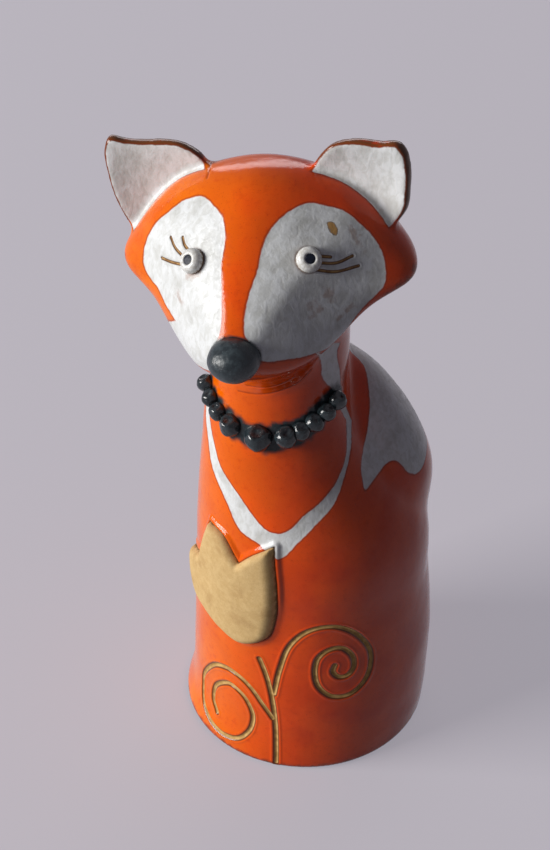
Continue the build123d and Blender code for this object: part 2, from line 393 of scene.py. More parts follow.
def ring_mesh(rings):
    """A closed mesh through rings of equally many points, as corners and triangles."""
    count, around = rings.shape[:2]
    corners = np.vstack([rings.reshape(-1, 3), rings[0].mean(0), rings[-1].mean(0)])
    step = np.arange(around)
    after = (step + 1) % around
    triangles = []
    for level in range(count - 1):
        low, high = level * around, (level + 1) * around
        triangles.append(np.stack([low + step, low + after, high + after], 1))
        triangles.append(np.stack([low + step, high + after, high + step], 1))
    first, last = count * around, count * around + 1
    triangles.append(np.stack([np.full(around, first), after, step], 1))
    top = (count - 1) * around
    triangles.append(np.stack([np.full(around, last), top + step, top + after], 1))
    return corners, np.vstack(triangles)


class Field:
    """Signed distances to a form, in millimetres, on an even grid of points."""

    low = np.array(grid_low, float)
    shape = tuple(int(round((b - a) / voxel)) + 1 for a, b in zip(grid_low, grid_high))

    @classmethod
    def of_mesh(cls, corners, triangles):
        """Signed distance to a closed mesh, kept near its surface."""
        grid = vdb.FloatGrid.createLevelSetFromPolygons(
            np.ascontiguousarray((corners - cls.low) / voxel, np.float32),
            triangles=np.ascontiguousarray(triangles, np.uint32),
            transform=vdb.createLinearTransform(1.0), halfWidth=band_voxels)
        values = np.full(cls.shape, band_voxels, np.float32)
        grid.copyToArray(values, ijk=(0, 0, 0))
        return values * voxel

    @classmethod
    def read(cls, values, points):
        """Values of the grid at free points, mixed from the eight nearest grid points."""
        return read_grid(values, (np.asarray(points) - cls.low) / voxel)

    @classmethod
    def surface(cls, values):
        """The mesh where the field is zero, as corners and four-sided faces."""
        corners, faces = grid_surface(values)
        return corners * voxel + cls.low, faces

    @classmethod
    def slope(cls, values, points):
        """The outward direction of the field at free points."""
        parts = []
        for axis in np.eye(3) * voxel:
            parts.append(cls.read(values, points + axis) - cls.read(values, points - axis))
        slope = np.stack(parts, 1)
        return slope / np.maximum(np.linalg.norm(slope, axis=1, keepdims=True), 1e-6)


def read_grid(values, place):
    """Values of a grid at free places given in grid steps."""
    base = np.clip(np.floor(place).astype(int), 0, np.array(values.shape) - 2)
    part = np.clip(place - base, 0.0, 1.0)
    total = np.zeros(len(place))
    for corner in range(8):
        pick = np.array([corner & 1, corner >> 1 & 1, corner >> 2 & 1])
        weight = np.prod(np.where(pick, part, 1.0 - part), axis=1)
        total += weight * values[tuple((base + pick).T)]
    return total


def grid_surface(values):
    """The mesh where a grid is zero, in grid steps, as corners and four-sided faces."""
    grid = vdb.FloatGrid(float(values.max()))
    grid.copyFromArray(np.ascontiguousarray(values, np.float32), ijk=(0, 0, 0))
    return grid.convertToQuads(0.0)


def joined(first, second, reach):
    """Two fields as one form, with a fillet about as wide as the reach between them."""
    mix = np.clip(0.5 + 0.5 * (second - first) / reach, 0.0, 1.0)
    return second + (first - second) * mix - reach * mix * (1.0 - mix)


def shared(first, second, reach):
    """The space that two fields share, with its edge rounded over the reach."""
    return -joined(-first, -second, reach)


def softened(values, sigma):
    """A field with its small bumps smoothed away over about sigma millimetres."""
    reach = int(math.ceil(2.5 * sigma / voxel))
    steps = np.arange(-reach, reach + 1)
    weights = np.exp(-0.5 * (steps * voxel / sigma) ** 2)
    weights = (weights / weights.sum()).astype(np.float32)
    for axis in range(3):
        padded = np.pad(values, [(reach, reach) if a == axis else (0, 0) for a in range(3)],
                        mode="edge")
        total = np.zeros_like(values)
        for offset, weight in enumerate(weights):
            part = [slice(None)] * 3
            part[axis] = slice(offset, offset + values.shape[axis])
            total += weight * padded[tuple(part)]
        values = total
    return values


def circle_points(count):
    """Even points on the unit circle."""
    turn = np.linspace(0.0, 2 * math.pi, count, endpoint=False)
    return np.cos(turn), np.sin(turn)


def body_field():
    """The body and the neck up into the head, on below the foot."""
    levels = np.array(body_levels)
    at = np.linspace(levels[0, 0], levels[-1, 0], 90)
    radius, side, front = between_knots(levels[:, 0], levels[:, 1:], at).T
    across, along = circle_points(120)
    rings = np.stack([side[:, None] + radius[:, None] * across,
                      front[:, None] + radius[:, None] * along,
                      np.repeat(at[:, None], len(across), 1)], 2)
    return Field.of_mesh(*ring_mesh(rings))


head_turn = np.array([
    [math.cos(math.radians(head_roll)), 0.0, -math.sin(math.radians(head_roll))],
    [0.0, 1.0, 0.0],
    [math.sin(math.radians(head_roll)), 0.0, math.cos(math.radians(head_roll))],
])


def head_points(points):
    """Points given in the head's own frame, in the shared frame."""
    return np.asarray(points) @ head_turn.T + np.array(head_centre)


def head_place(points):
    """Points of the shared frame, in the head's own frame."""
    return (np.asarray(points) - np.array(head_centre)) @ head_turn


def head_field():
    """The head without its ears."""
    reaches, rims = [], []
    for (reach_share, crown, brow_out, brow_up, temple_out, temple_up,
         cheek_out, cheek_up, jaw_out, jaw_down, throat_down) in head_section_shares:
        side = [(brow_out * cheek_reach, brow_up * crown_rise),
                (temple_out * cheek_reach, temple_up * crown_rise),
                (cheek_out * cheek_reach, cheek_up * crown_rise)]
        jaw = (jaw_out * cheek_reach, -jaw_down * throat_drop)
        left = side + [(jaw[0], jaw[1] + jaw_out * left_jaw_lift)]
        right = [(-out, up) for out, up in reversed(side + [jaw])]
        rim = [(0, crown * crown_rise), *left, (0, -throat_down * throat_drop), *right]
        reaches.append(reach_share * (snout_reach if reach_share > 0 else nape_reach))
        rims.append(smooth_loop(rim, 120))
    at = np.linspace(reaches[0], reaches[-1], 80)
    rims = between_knots(reaches, rims, at)
    rings = np.stack([rims[:, :, 0], np.repeat(-at[:, None], rims.shape[1], 1), rims[:, :, 1]], 2)
    corners, triangles = ring_mesh(rings)
    return Field.of_mesh(head_points(corners), triangles)


class Ear:
    """One ear slab on the brow, hollow side forward."""

    def __init__(self, sign, outline_shares):
        inner, outer, lean = [np.array([sign * side + ear_side_shift, back, up])
                              for side, back, up in (ear_inner, ear_outer, ear_lean)]
        self.inner = inner
        self.length = np.linalg.norm(outer - inner)
        self.along = (outer - inner) / self.length
        rise = (lean - inner) - self.along * np.dot(lean - inner, self.along)
        self.rise = rise / np.linalg.norm(rise)
        self.front = np.cross(self.along, self.rise) * sign
        shares = [(u * self.length, v * ear_height) for u, v in outline_shares]
        self.rim = smooth_line(shares, 0.8)

    def sag(self, u):
        """How far the bent slab stands forward at a distance along its base line."""
        return ear_bend_radius - np.sqrt(ear_bend_radius**2 - (u - self.length / 2) ** 2)

    def field(self):
        """Signed distance to the slab and its root."""
        root = [(self.rim[-1][0], -ear_root), (0.0, -ear_root)]
        outline = np.vstack([self.rim, root])
        middle = outline.mean(0)
        sheets = []
        for shrink in np.linspace(1.0, 0.04, 16):
            flat = middle + (outline - middle) * shrink
            sheets.append(self.inner + flat[:, :1] * self.along + flat[:, 1:] * self.rise
                          + self.sag(flat[:, 0])[:, None] * self.front)
        near = [sheet + ear_thickness * self.front for sheet in reversed(sheets)]
        corners, triangles = ring_mesh(np.array(near + sheets))
        return Field.of_mesh(head_points(corners), triangles)

    def white_depth(self, points):
        """How deep in the white front of the ear points lie, below zero outside it."""
        local = head_place(points) - self.inner
        u, v, w = local @ self.along, local @ self.rise, local @ self.front
        loop = np.vstack([self.rim, [(self.rim[-1][0], -1.0), (0.0, -1.0)]])
        inside = loop_depth(loop, np.stack([u, v], 1))
        ahead = w - self.sag(np.clip(u, -ear_bend_radius / 2, ear_bend_radius)) - ear_thickness
        return np.min([inside - ear_edge_width, v + ear_white_below, ahead + ear_white_behind,
                       ear_white_before - ahead], axis=0)


def tail_field():
    """The tail that climbs the left side."""
    levels = np.array(tail_levels)
    at = np.linspace(levels[0, 0], levels[-1, 0], 60)
    turn, out, half_width, half_depth = between_knots(levels[:, 0], levels[:, 1:], at).T
    across, along = circle_points(80)
    turn = np.radians(turn)[:, None]
    radial = out[:, None] + half_depth[:, None] * across
    sideways = half_width[:, None] * along
    rings = np.stack([radial * np.cos(turn) - sideways * np.sin(turn),
                      radial * np.sin(turn) + sideways * np.cos(turn),
                      np.repeat(at[:, None], len(across), 1)], 2)
    return Field.of_mesh(*ring_mesh(rings))


def inside_loop(loop, points):
    """Which points of the plane a closed outline holds."""
    held = np.zeros(len(points), bool)
    start = np.roll(loop, 1, axis=0)
    for (ax, ay), (bx, by) in zip(start, loop):
        if ay == by:
            continue
        crosses = (ay > points[:, 1]) != (by > points[:, 1])
        side = (bx - ax) * (points[:, 1] - ay) / (by - ay) + ax
        held ^= crosses & (points[:, 0] < side)
    return held


def line_distance(line, points, closed=False):
    """Distance from each point to a line of many short stretches."""
    start = np.asarray(line, np.float32)
    end = np.roll(start, -1, axis=0)
    if not closed:
        start, end = start[:-1], end[:-1]
    run = end - start
    size = np.maximum((run**2).sum(1), 1e-9)
    nearest = np.full(len(points), np.inf, np.float32)
    points = np.asarray(points, np.float32)
    block = max(1, int(4e6 / max(1, len(start))))
    for first in range(0, len(points), block):
        part = points[first:first + block]
        offset = part[:, None, :] - start[None]
        t = np.clip((offset * run[None]).sum(2) / size, 0.0, 1.0)
        gap = offset - t[:, :, None] * run[None]
        nearest[first:first + block] = np.sqrt((gap**2).sum(2).min(1))
    return nearest.astype(float)


def near_line(line, points, reach, closed=False):
    """Distance from points to a line, held at the reach where a point is further away."""
    line = np.asarray(line)
    found = np.full(len(points), float(reach))
    box = ((points > line.min(0) - reach) & (points < line.max(0) + reach)).all(1)
    found[box] = np.minimum(line_distance(line, points[box], closed), reach)
    return found


def loop_depth(loop, points):
    """How deep points of the plane lie in a closed outline, below zero outside it."""
    depth = line_distance(loop, points, closed=True)
    return np.where(inside_loop(loop, points), depth, -depth)


class Photo:
    """The photograph's camera, used to lay its pixels on the clay."""

    heading = math.radians(camera_heading)
    dip = math.radians(camera_dip)
    right = np.array([math.cos(heading), math.sin(heading), 0.0])
    ahead = np.array([-math.sin(heading) * math.cos(dip), math.cos(heading) * math.cos(dip),
                      -math.sin(dip)])
    up = np.cross(right, ahead)
    place = np.array(camera_place)

    def __init__(self, corners, faces):
        self.tree = BVHTree.FromPolygons(corners.tolist(), faces.tolist())

    def on_clay(self, pixels, step=2.5):
        """The places on the clay under a line of pixels."""
        found = []
        for x, y in smooth_line(pixels, step):
            ray = (self.ahead + self.right * (x - frame_width / 2) / focal_pixels
                   - self.up * (y - frame_height / 2) / focal_pixels)
            hit = self.tree.ray_cast(Vector(self.place), Vector(ray))[0]
            if hit is not None:
                found.append(hit)
        return np.array(found)

    def from_outside(self, chart_points):
        """The places on the clay at points of the body's rolled-out surface."""
        levels = np.array(body_levels)
        found = []
        for across, height in chart_points:
            side, back = between_knots(levels[:, 0], levels[:, 2:], np.array([height]))[0]
            turn = across / foot_radius
            out = np.array([math.sin(turn), -math.cos(turn), 0.0])
            start = Vector(np.array([side, back, height]) + 3 * foot_radius * out)
            found.append(self.tree.ray_cast(start, Vector(-out))[0])
        return np.array(found)

    def closed(self, *stretches):
        """One closed edge from stretches of it, with the gaps between them filled on the clay."""
        parts = []
        for stretch, following in zip(stretches, stretches[1:] + stretches[:1]):
            gap = int(np.linalg.norm(following[0] - stretch[-1])) + 2
            parts += [stretch, self.snapped(np.linspace(stretch[-1], following[0], gap)[1:-1])
                      if gap > 2 else stretch[-1:]]
        return np.vstack(parts)

    def snapped(self, points):
        """The places on the clay nearest to the given points."""
        return np.array([self.tree.find_nearest(Vector(point))[0] for point in points])


def head_chart(points):
    """The head's surface spread on a plane from its front."""
    local = head_place(points) - np.array([0.0, 0.0, -2.0])
    local /= np.maximum(np.linalg.norm(local, axis=1, keepdims=True), 1e-6)
    return local[:, [0, 2]] / np.maximum(1.0 - local[:, 1:2], 0.02)


def body_chart(points):
    """The body's surface rolled out on a plane: turn from its front, and height."""
    levels = np.array(body_levels)
    height = np.clip(points[:, 2], levels[0, 0], levels[-1, 0])
    middle = between_knots(levels[:, 0], levels[:, 2:], height)
    turn = np.arctan2(points[:, 0] - middle[:, 0], middle[:, 1] - points[:, 1])
    return np.stack([turn * foot_radius, points[:, 2]], 1)


def region_depth(loop, chart, points):
    """How deep points of the clay lie in a glazed region with the given edge."""
    gap = near_line(loop, points, edge_reach, closed=True)
    held = inside_loop(chart(loop), chart(points))
    return np.where(held, gap, -gap)


def lumps(points, size, seed):
    """Smooth uneven values between about -1 and 1, with lumps of the given size."""
    shift = Vector((seed * 17.3, seed * 5.1, seed * 9.7))
    return np.array([noise.noise(Vector(point) / size + shift) for point in points.tolist()])


def uneven(points, waves):
    """Lumps of several sizes in one, from the height, size and seed of each."""
    return sum(height * lumps(points, size, seed) for height, size, seed in waves)


def split_near(mesh, lines, reach):
    """Halve the faces of a mesh that lie within reach of any of the lines."""
    corners = np.array([vertex.co for vertex in mesh.verts])
    gap = np.full(len(corners), float(reach))
    for line in lines:
        gap = np.minimum(gap, near_line(line, corners, reach))
    close = gap < reach
    mesh.verts.index_update()
    edges = {edge for face in mesh.faces if any(close[vertex.index] for vertex in face.verts)
             for edge in face.edges}
    bmesh.ops.subdivide_edges(mesh, edges=list(edges), cuts=1, use_grid_fill=True)


def as_mesh(name, corners, faces, attributes=None, normals=None):
    """A smooth-shaded mesh from corners in millimetres."""
    mesh = bpy.data.meshes.new(name)
    mesh.from_pydata((np.asarray(corners) * metre).tolist(), [],
                     [list(map(int, face)) for face in faces])
    for key, values in (attributes or {}).items():
        layer = mesh.attributes.new(key, "FLOAT", "POINT")
        layer.data.foreach_set("value", np.asarray(values, np.float32))
    mesh.shade_smooth()
    if normals is not None:
        mesh.normals_split_custom_set_from_vertices(np.asarray(normals).tolist())
    return mesh


def add_piece(name, mesh, material, slot, *nodes):
    """Put a finished piece in the scene, in place of its CAD nodes."""
    mesh.materials.append(material)
    made = bpy.data.objects.new(name, mesh)
    bpy.context.scene.collection.objects.link(made)
    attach(made, "root")
    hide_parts(*nodes)


def thinned_inside(corners, faces, inside):
    """The mesh with its hidden inner wall made coarse."""
    mesh = bpy.data.meshes.new("thinning")
    mesh.from_pydata(corners.tolist(), [], faces.tolist())
    made = bpy.data.objects.new("thinning", mesh)
    bpy.context.scene.collection.objects.link(made)
    group = made.vertex_groups.new(name="inside")
    group.add(np.nonzero(inside)[0].tolist(), 1.0, "REPLACE")
    modifier = made.modifiers.new("thin", "DECIMATE")
    modifier.ratio = 1.0 - inner_thinning * inside.mean()
    modifier.vertex_group = "inside"
    evaluated = made.evaluated_get(bpy.context.evaluated_depsgraph_get())
    thin = bpy.data.meshes.new_from_object(evaluated)
    bpy.data.objects.remove(made)
    bpy.data.meshes.remove(mesh)
    return thin


def bead_centre(turn):
    """The middle of a bead at a turn in degrees from the throat."""
    angle = math.radians(turn)
    drop = bead_ring_fall + bead_ring_drop * math.cos(angle) ** bead_drop_power
    out = neck_radius + bead_stand
    return np.array(neck_top) + np.array([out * math.sin(angle), -out * math.cos(angle), -drop])


def make_clay():
    """Every field of the fox's clay, and the whole of it in one."""
    trunk = body_field()
    side, back, heights = [Field.low[a] + voxel * np.arange(Field.shape[a], dtype=np.float32)
                           for a in range(3)]
    heights = np.broadcast_to(heights[None, None], trunk.shape)
    vent = np.hypot(side[:, None], back[None] - vent_back)[:, :, None] - vent_radius
    ears = {"left": Ear(1, left_ear_shares), "right": Ear(-1, right_ear_shares)}
    parts = {"body": shared(trunk, -heights, foot_rounding),
             "head": softened(head_field(), head_softening), "tail": tail_field()}
    clay = joined(parts["body"], parts["head"], head_join)
    clay = joined(clay, parts["tail"], tail_join)
    for side, ear in ears.items():
        parts[f"ear_{side}"] = softened(ear.field(), ear_softening)
        clay = joined(clay, parts[f"ear_{side}"], ear_join)
    hollow = np.maximum(trunk + wall, np.maximum(foot_thickness - heights, heights - hollow_top))
    vent = np.maximum(vent, heights - foot_thickness - wall)
    clay = shared(clay, -np.minimum(hollow, vent), rim_rounding)
    return clay, parts, ears, trunk


def tulip_loop():
    """The tulip's outline on its own plane, in millimetres."""
    petals = [smooth_line(np.array(shares) * (tulip_width, tulip_height), 0.4)[:-1]
              for shares in tulip_outline_shares]
    return np.vstack(petals)


def tulip_axes():
    """The tulip plane's middle, its direction across, and its direction out of the body."""
    angle = math.radians(tulip_turn)
    across = np.array([math.cos(angle), math.sin(angle), 0.0])
    out = np.array([math.sin(angle), -math.cos(angle), 0.0])
    return across * tulip_shift + np.array([0.0, 0.0, tulip_bottom]), across, out


def tulip_chart(points):
    """Points in the tulip's own plane."""
    middle, across, _ = tulip_axes()
    local = points - middle
    return np.stack([local @ across, local[:, 2]], 1)


def tulip_edge_on(photo):
    """The tulip's outline laid on the clay."""
    middle, across, out = tulip_axes()
    edge = []
    for u, v in tulip_loop():
        start = Vector(middle + u * across + v * upward + clear_of_body * out)
        edge.append(photo.tree.ray_cast(start, Vector(-out))[0])
    return np.array(edge)


def eye_seats(photo, smooth_clay):
    """The place of each eye on the clay, and the way that it faces."""
    eyes = {}
    for side, (across_face, up_face) in eye_places.items():
        start = Vector(head_points([across_face, -2 * snout_reach, up_face]))
        seat = np.array(photo.tree.ray_cast(start, Vector((0.0, 1.0, 0.0)))[0])
        eyes[side] = seat, Field.slope(smooth_clay, seat[None])[0]
    return eyes


def part_labels(corners, faces, parts, trunk):
    """The part of the fox that each face of the clay belongs to."""
    centres = np.array([corners[face].mean(0) for face in faces])
    trunk_or_head = np.minimum(Field.read(parts["body"], centres),
                               Field.read(parts["head"], centres))
    label = np.where(centres[:, 2] > neck_top[2], "head", "body").astype("<U9")
    skin = Field.read(trunk, centres) > skin_margin - wall
    for name in ("tail", "ear_left", "ear_right"):
        label[skin & (Field.read(parts[name], centres) < trunk_or_head)] = name
    return label


def shape_fox(clay, ears, trunk):
    """The fox's clay as one mesh, with its scored lines and the data that its glazes follow."""
    smooth_clay = softened(clay, bend_softening)
    corners, faces = Field.surface(clay)
    photo = Photo(corners, faces)
    inside = Field.read(trunk, corners) < thinned_margin - wall
    inside &= corners[:, 2] > thinned_above
    mesh = bmesh.new()
    mesh.from_mesh(thinned_inside(corners, faces, inside))

    scored = [photo.on_clay(line) for line in (stem_line, right_tendril, left_tendril)]
    lashes = [photo.on_clay(line) for line in lash_lines]
    creases = [photo.on_clay(line) for line in crease_lines]
    tulip_edge = tulip_edge_on(photo)
    eyes = eye_seats(photo, smooth_clay)
    split_near(mesh, scored + lashes + [tulip_edge], first_split)
    split_near(mesh, scored + lashes + creases + [tulip_edge], second_split)
    corners = np.array([vertex.co for vertex in mesh.verts])
    faces = [[vertex.index for vertex in face.verts] for face in mesh.faces]
    mesh.free()

    outer = Field.read(trunk, corners) > skin_margin - wall
    for _ in range(2):
        off = np.where(outer, Field.read(clay, corners), 0.0)
        corners -= off[:, None] * Field.slope(clay, corners)
    slope = Field.slope(clay, corners)

    white = np.full(len(corners), -edge_reach)
    for loop, chart in glaze_regions(photo):
        white = np.maximum(white, region_depth(loop, chart, corners))
    for ear in ears.values():
        white = np.maximum(white, np.clip(ear.white_depth(corners), -edge_reach, edge_reach))

    def nearest(lines, reach=edge_reach):
        gap = np.full(len(corners), float(reach))
        for line in lines:
            gap = np.minimum(gap, near_line(line, corners, reach))
        return gap

    def stained(lines, reach):
        return 1.0 - nearest([photo.on_clay(line) for line in lines], reach) / reach

    carved = {"score": nearest(scored), "lash": nearest(lashes), "crease": nearest(creases)}
    string = np.array([bead_centre(turn) for turn in np.linspace(*bead_string_ends, 60)])
    string_gap = near_line(string, corners, string_reach)
    seat = nearest([tulip_edge])
    on_tulip = tulip_chart(corners)
    ridge = np.where(inside_loop(tulip_loop(), on_tulip), 0.0, bell(seat - 0.5, 1.4))
    upper = ramp(on_tulip[:, 1], 0.35 * tulip_height, 0.6 * tulip_height)
    ridge *= tulip_ridge_below + (1.0 - tulip_ridge_below) * upper
    nose_gap = np.linalg.norm((head_place(corners) - nose_place) / nose_half_sizes, axis=1)
    for eye_seat, _ in eyes.values():
        ring = np.abs(np.linalg.norm(corners - eye_seat, axis=1) - eye_radius)
        seat = np.minimum(seat, ring)

    lift = uneven(corners, body_waves) * ramp(corners[:, 2], 0.3, 7.0)
    for name, (depth, width, bank, bank_gap, bank_width) in carved_lines.items():
        gap = carved[name]
        lift -= depth * bell(gap, width) - bank * bell(gap - bank_gap, bank_width)
    lift -= white_step * ramp(white, -0.25, 0.45)
    lift += tulip_ridge * ridge + string_swell * bell(string_gap, 4.5)
    corners = corners + np.where(outer, lift, 0.0)[:, None] * slope
    corners[:, 2] = np.maximum(corners[:, 2], 0.0)

    bend = -6.0 * Field.read(smooth_clay, corners)
    for axis in np.eye(3):
        bend += Field.read(smooth_clay, corners + axis) + Field.read(smooth_clay, corners - axis)
    string_gap = string_gap + uneven(corners, bead_smear_waves)
    string_gap -= bead_smear_spread * ramp(corners[:, 0], -16.0, 2.0)
    nose_gap += uneven(corners, nose_smear_waves)
    smear = 1.0 - np.minimum(ramp(string_gap, *bead_smear_fade), ramp(nose_gap, *nose_smear_fade))
    data = {"white": white, "smear": smear, "seat": seat, "bend": bend, **carved,
            "stain": stained(stain_lines, stain_reach),
            "smudge_and_shadow": stained(smudge_and_shadow_lines, smudge_and_shadow_reach)}

    return corners, faces, data, eyes


def mirrored(points):
    """Places mirrored from the head's left side to its right."""
    local = head_place(points)
    local[:, 0] *= -1
    return head_points(local)


def glaze_regions(photo):
    """Edges of the white glazes on the clay, each with the chart that it is read on."""
    right = photo.on_clay(right_patch + right_patch[:1])
    right = right[right[:, 2] > jaw_height]
    inner, outer = photo.on_clay(left_patch_inner), photo.on_clay(left_patch_outer)
    edge = photo.on_clay(right_patch_under)
    edge = edge[edge[:, 2] > jaw_height]
    under = photo.snapped(mirrored(edge) - left_patch_drop * upward)
    left = photo.closed(inner, under, outer)

    strip_in, strip_out = photo.on_clay(strip_inner), photo.on_clay(strip_outer)
    collar_in, collar_out = photo.on_clay(collar_inner), photo.on_clay(collar_outer)
    behind_in = photo.from_outside(smooth_line(collar_inner_behind, 1.0))
    behind_out = photo.from_outside(smooth_line(collar_outer_behind, 1.0))
    collar = photo.closed(strip_in, collar_in, behind_in, behind_out, collar_out, strip_out[::-1])

    front, teeth = photo.on_clay(tail_edge), photo.on_clay(tail_teeth)
    behind = photo.from_outside(smooth_line(tail_edge_behind, 1.0))
    tail = photo.closed(front, teeth, behind)
    return [(right, head_chart), (left, head_chart), (collar, body_chart), (tail, body_chart)]


def vertex_normals(corners, faces):
    """The outward direction at every corner of a mesh."""
    mesh = as_mesh("whole", corners, faces)
    normals = np.empty(3 * len(corners), np.float32)
    mesh.vertex_normals.foreach_get("vector", normals)
    bpy.data.meshes.remove(mesh)
    return normals.reshape(-1, 3)


def open_loops(faces):
    """The open edges of a mesh, followed round into loops of corners."""
    edges = {}
    for face in faces:
        for start, end in zip(face, face[1:] + face[:1]):
            edges[start, end] = True
    after = {end: start for start, end in edges if (end, start) not in edges}
    loops = []
    while after:
        start, place = after.popitem()
        loop = [start]
        while place != start and place in after:
            loop.append(place)
            place = after.pop(place)
        loops.append(loop)
    return loops


def cut_part(corners, faces, data, normals):
    """One part of the clay as a closed mesh, its cut hidden inside the clay."""
    used = np.unique(np.concatenate([np.array(face) for face in faces]))
    place = {int(old): new for new, old in enumerate(used)}
    faces = [[place[corner] for corner in face] for face in faces]
    corners, normals = corners[used], normals[used]
    data = {key: values[used] for key, values in data.items()}
    for loop in open_loops(faces):
        middle = len(corners)
        corners = np.vstack([corners, corners[loop].mean(0)])
        normals = np.vstack([normals, normals[loop].mean(0)])
        data = {key: np.append(values, values[loop].mean()) for key, values in data.items()}
        faces += [[start, end, middle] for start, end in zip(loop, loop[1:] + loop[:1])]
    return corners, faces, data, normals


def lathe(profile, count, start, normal):
    """A round form turned about a direction, from pairs of radius and height."""
    profile = np.array(profile)
    across, along = circle_points(count)
    rings = np.stack([profile[:, :1] * across, profile[:, :1] * along,
                      np.repeat(profile[:, 1:], count, 1)], 2)
    corners, triangles = ring_mesh(rings)
    turn = np.array(Vector(normal).to_track_quat("Z", "Y").to_matrix())
    return corners @ turn.T + start, triangles


def ball(fineness):
    """Corners and triangles of an even ball of radius one."""
    mesh = bmesh.new()
    bmesh.ops.create_icosphere(mesh, subdivisions=fineness, radius=1.0)
    corners = np.array([vertex.co for vertex in mesh.verts])
    faces = [[vertex.index for vertex in face.verts] for face in mesh.faces]
    mesh.free()
    return corners, faces


class Recipe:
    """A material put together from nodes. Sizes are in millimetres."""

    def __init__(self, name):
        self.material = bpy.data.materials.new(name)
        self.material.use_nodes = True
        self.tree = self.material.node_tree
        self.shader = self.tree.nodes["Principled BSDF"]
        coordinates = self.tree.nodes.new("ShaderNodeTexCoord").outputs["Object"]
        self.place = self.scaled(coordinates, (1 / metre,) * 3)

    def put(self, kind, *inputs, **settings):
        """Add a node, with its inputs given in order as sockets or values."""
        node = self.tree.nodes.new(kind)
        for key, value in settings.items():
            setattr(node, key, value)
        for socket, value in zip(node.inputs, inputs):
            self.feed(socket, value)
        return node

    def feed(self, socket, value):
        """Give a socket a link or a value."""
        if isinstance(value, bpy.types.NodeSocket):
            self.tree.links.new(value, socket)
        elif value is not None:
            socket.default_value = value

    def scaled(self, vector, scale):
        """A place stretched along each axis."""
        node = self.put("ShaderNodeVectorMath", vector, operation="MULTIPLY")
        node.inputs[1].default_value = scale
        return node.outputs[0]

    def math(self, operation, *values):
        """One sum on values."""
        return self.put("ShaderNodeMath", *values, operation=operation).outputs[0]

    def grain(self, size, detail, place=None, seed=0.0, twist=0.0):
        """Uneven values about a half, with lumps of the given size."""
        node = self.put("ShaderNodeTexNoise", noise_dimensions="4D")
        self.feed(node.inputs["Vector"], place or self.place)
        node.inputs["W"].default_value = seed
        node.inputs["Scale"].default_value = 1.0 / size
        node.inputs["Detail"].default_value = detail
        node.inputs["Distortion"].default_value = twist
        return node.outputs["Fac"]

    def step(self, value, low, high, start=0.0, end=1.0):
        """A soft change from start to end as a value goes from low to high."""
        return self.put("ShaderNodeMapRange", value, low, high, start, end,
                        interpolation_type="SMOOTHSTEP").outputs[0]

    def layer(self, name):
        """Values kept on the mesh."""
        return self.put("ShaderNodeAttribute", attribute_name=name).outputs["Fac"]

    def blend(self, factor, first, second):
        """One colour fading into another."""
        node = self.put("ShaderNodeMix", data_type="RGBA")
        self.feed(node.inputs[0], factor)
        self.feed(node.inputs[6], first)
        self.feed(node.inputs[7], second)
        return node.outputs[2]

    def between(self, factor, first, second):
        """One value fading into another."""
        return self.put("ShaderNodeMix", factor, None, first, second, data_type="FLOAT").outputs[0]

    def mottled(self, value, low, high, first, second):
        """Two paints that take turns as a value goes from low to high."""
        return self.blend(self.step(value, low, high), paint(*first), paint(*second))

    def tinted(self, colour, *layers):
        """A colour under paints, each up to its share as its value goes from low to high."""
        for value, low, high, share, shade in layers:
            colour = self.blend(self.step(value, low, high, 0.0, share), colour, paint(*shade))
        return colour

    def finish(self, colour, roughness, height, depth, specular=0.5):
        """Set the shader's colour, roughness and bump, and give the material."""
        self.shader.inputs["Specular IOR Level"].default_value = specular
        self.feed(self.shader.inputs["Base Color"], colour)
        self.feed(self.shader.inputs["Roughness"], roughness)
        bump = self.put("ShaderNodeBump")
        bump.inputs["Distance"].default_value = depth * metre
        self.feed(bump.inputs["Height"], height)
        self.feed(self.shader.inputs["Normal"], bump.outputs["Normal"])
        return self.material


def paint(red, green, blue):
    """A colour given in screen values, for a shader."""
    values = []
    for value in (red, green, blue):
        share = value / 255
        values.append(share / 12.92 if share <= 0.04045 else ((share + 0.055) / 1.055) ** 2.4)
    return (*values, 1.0)


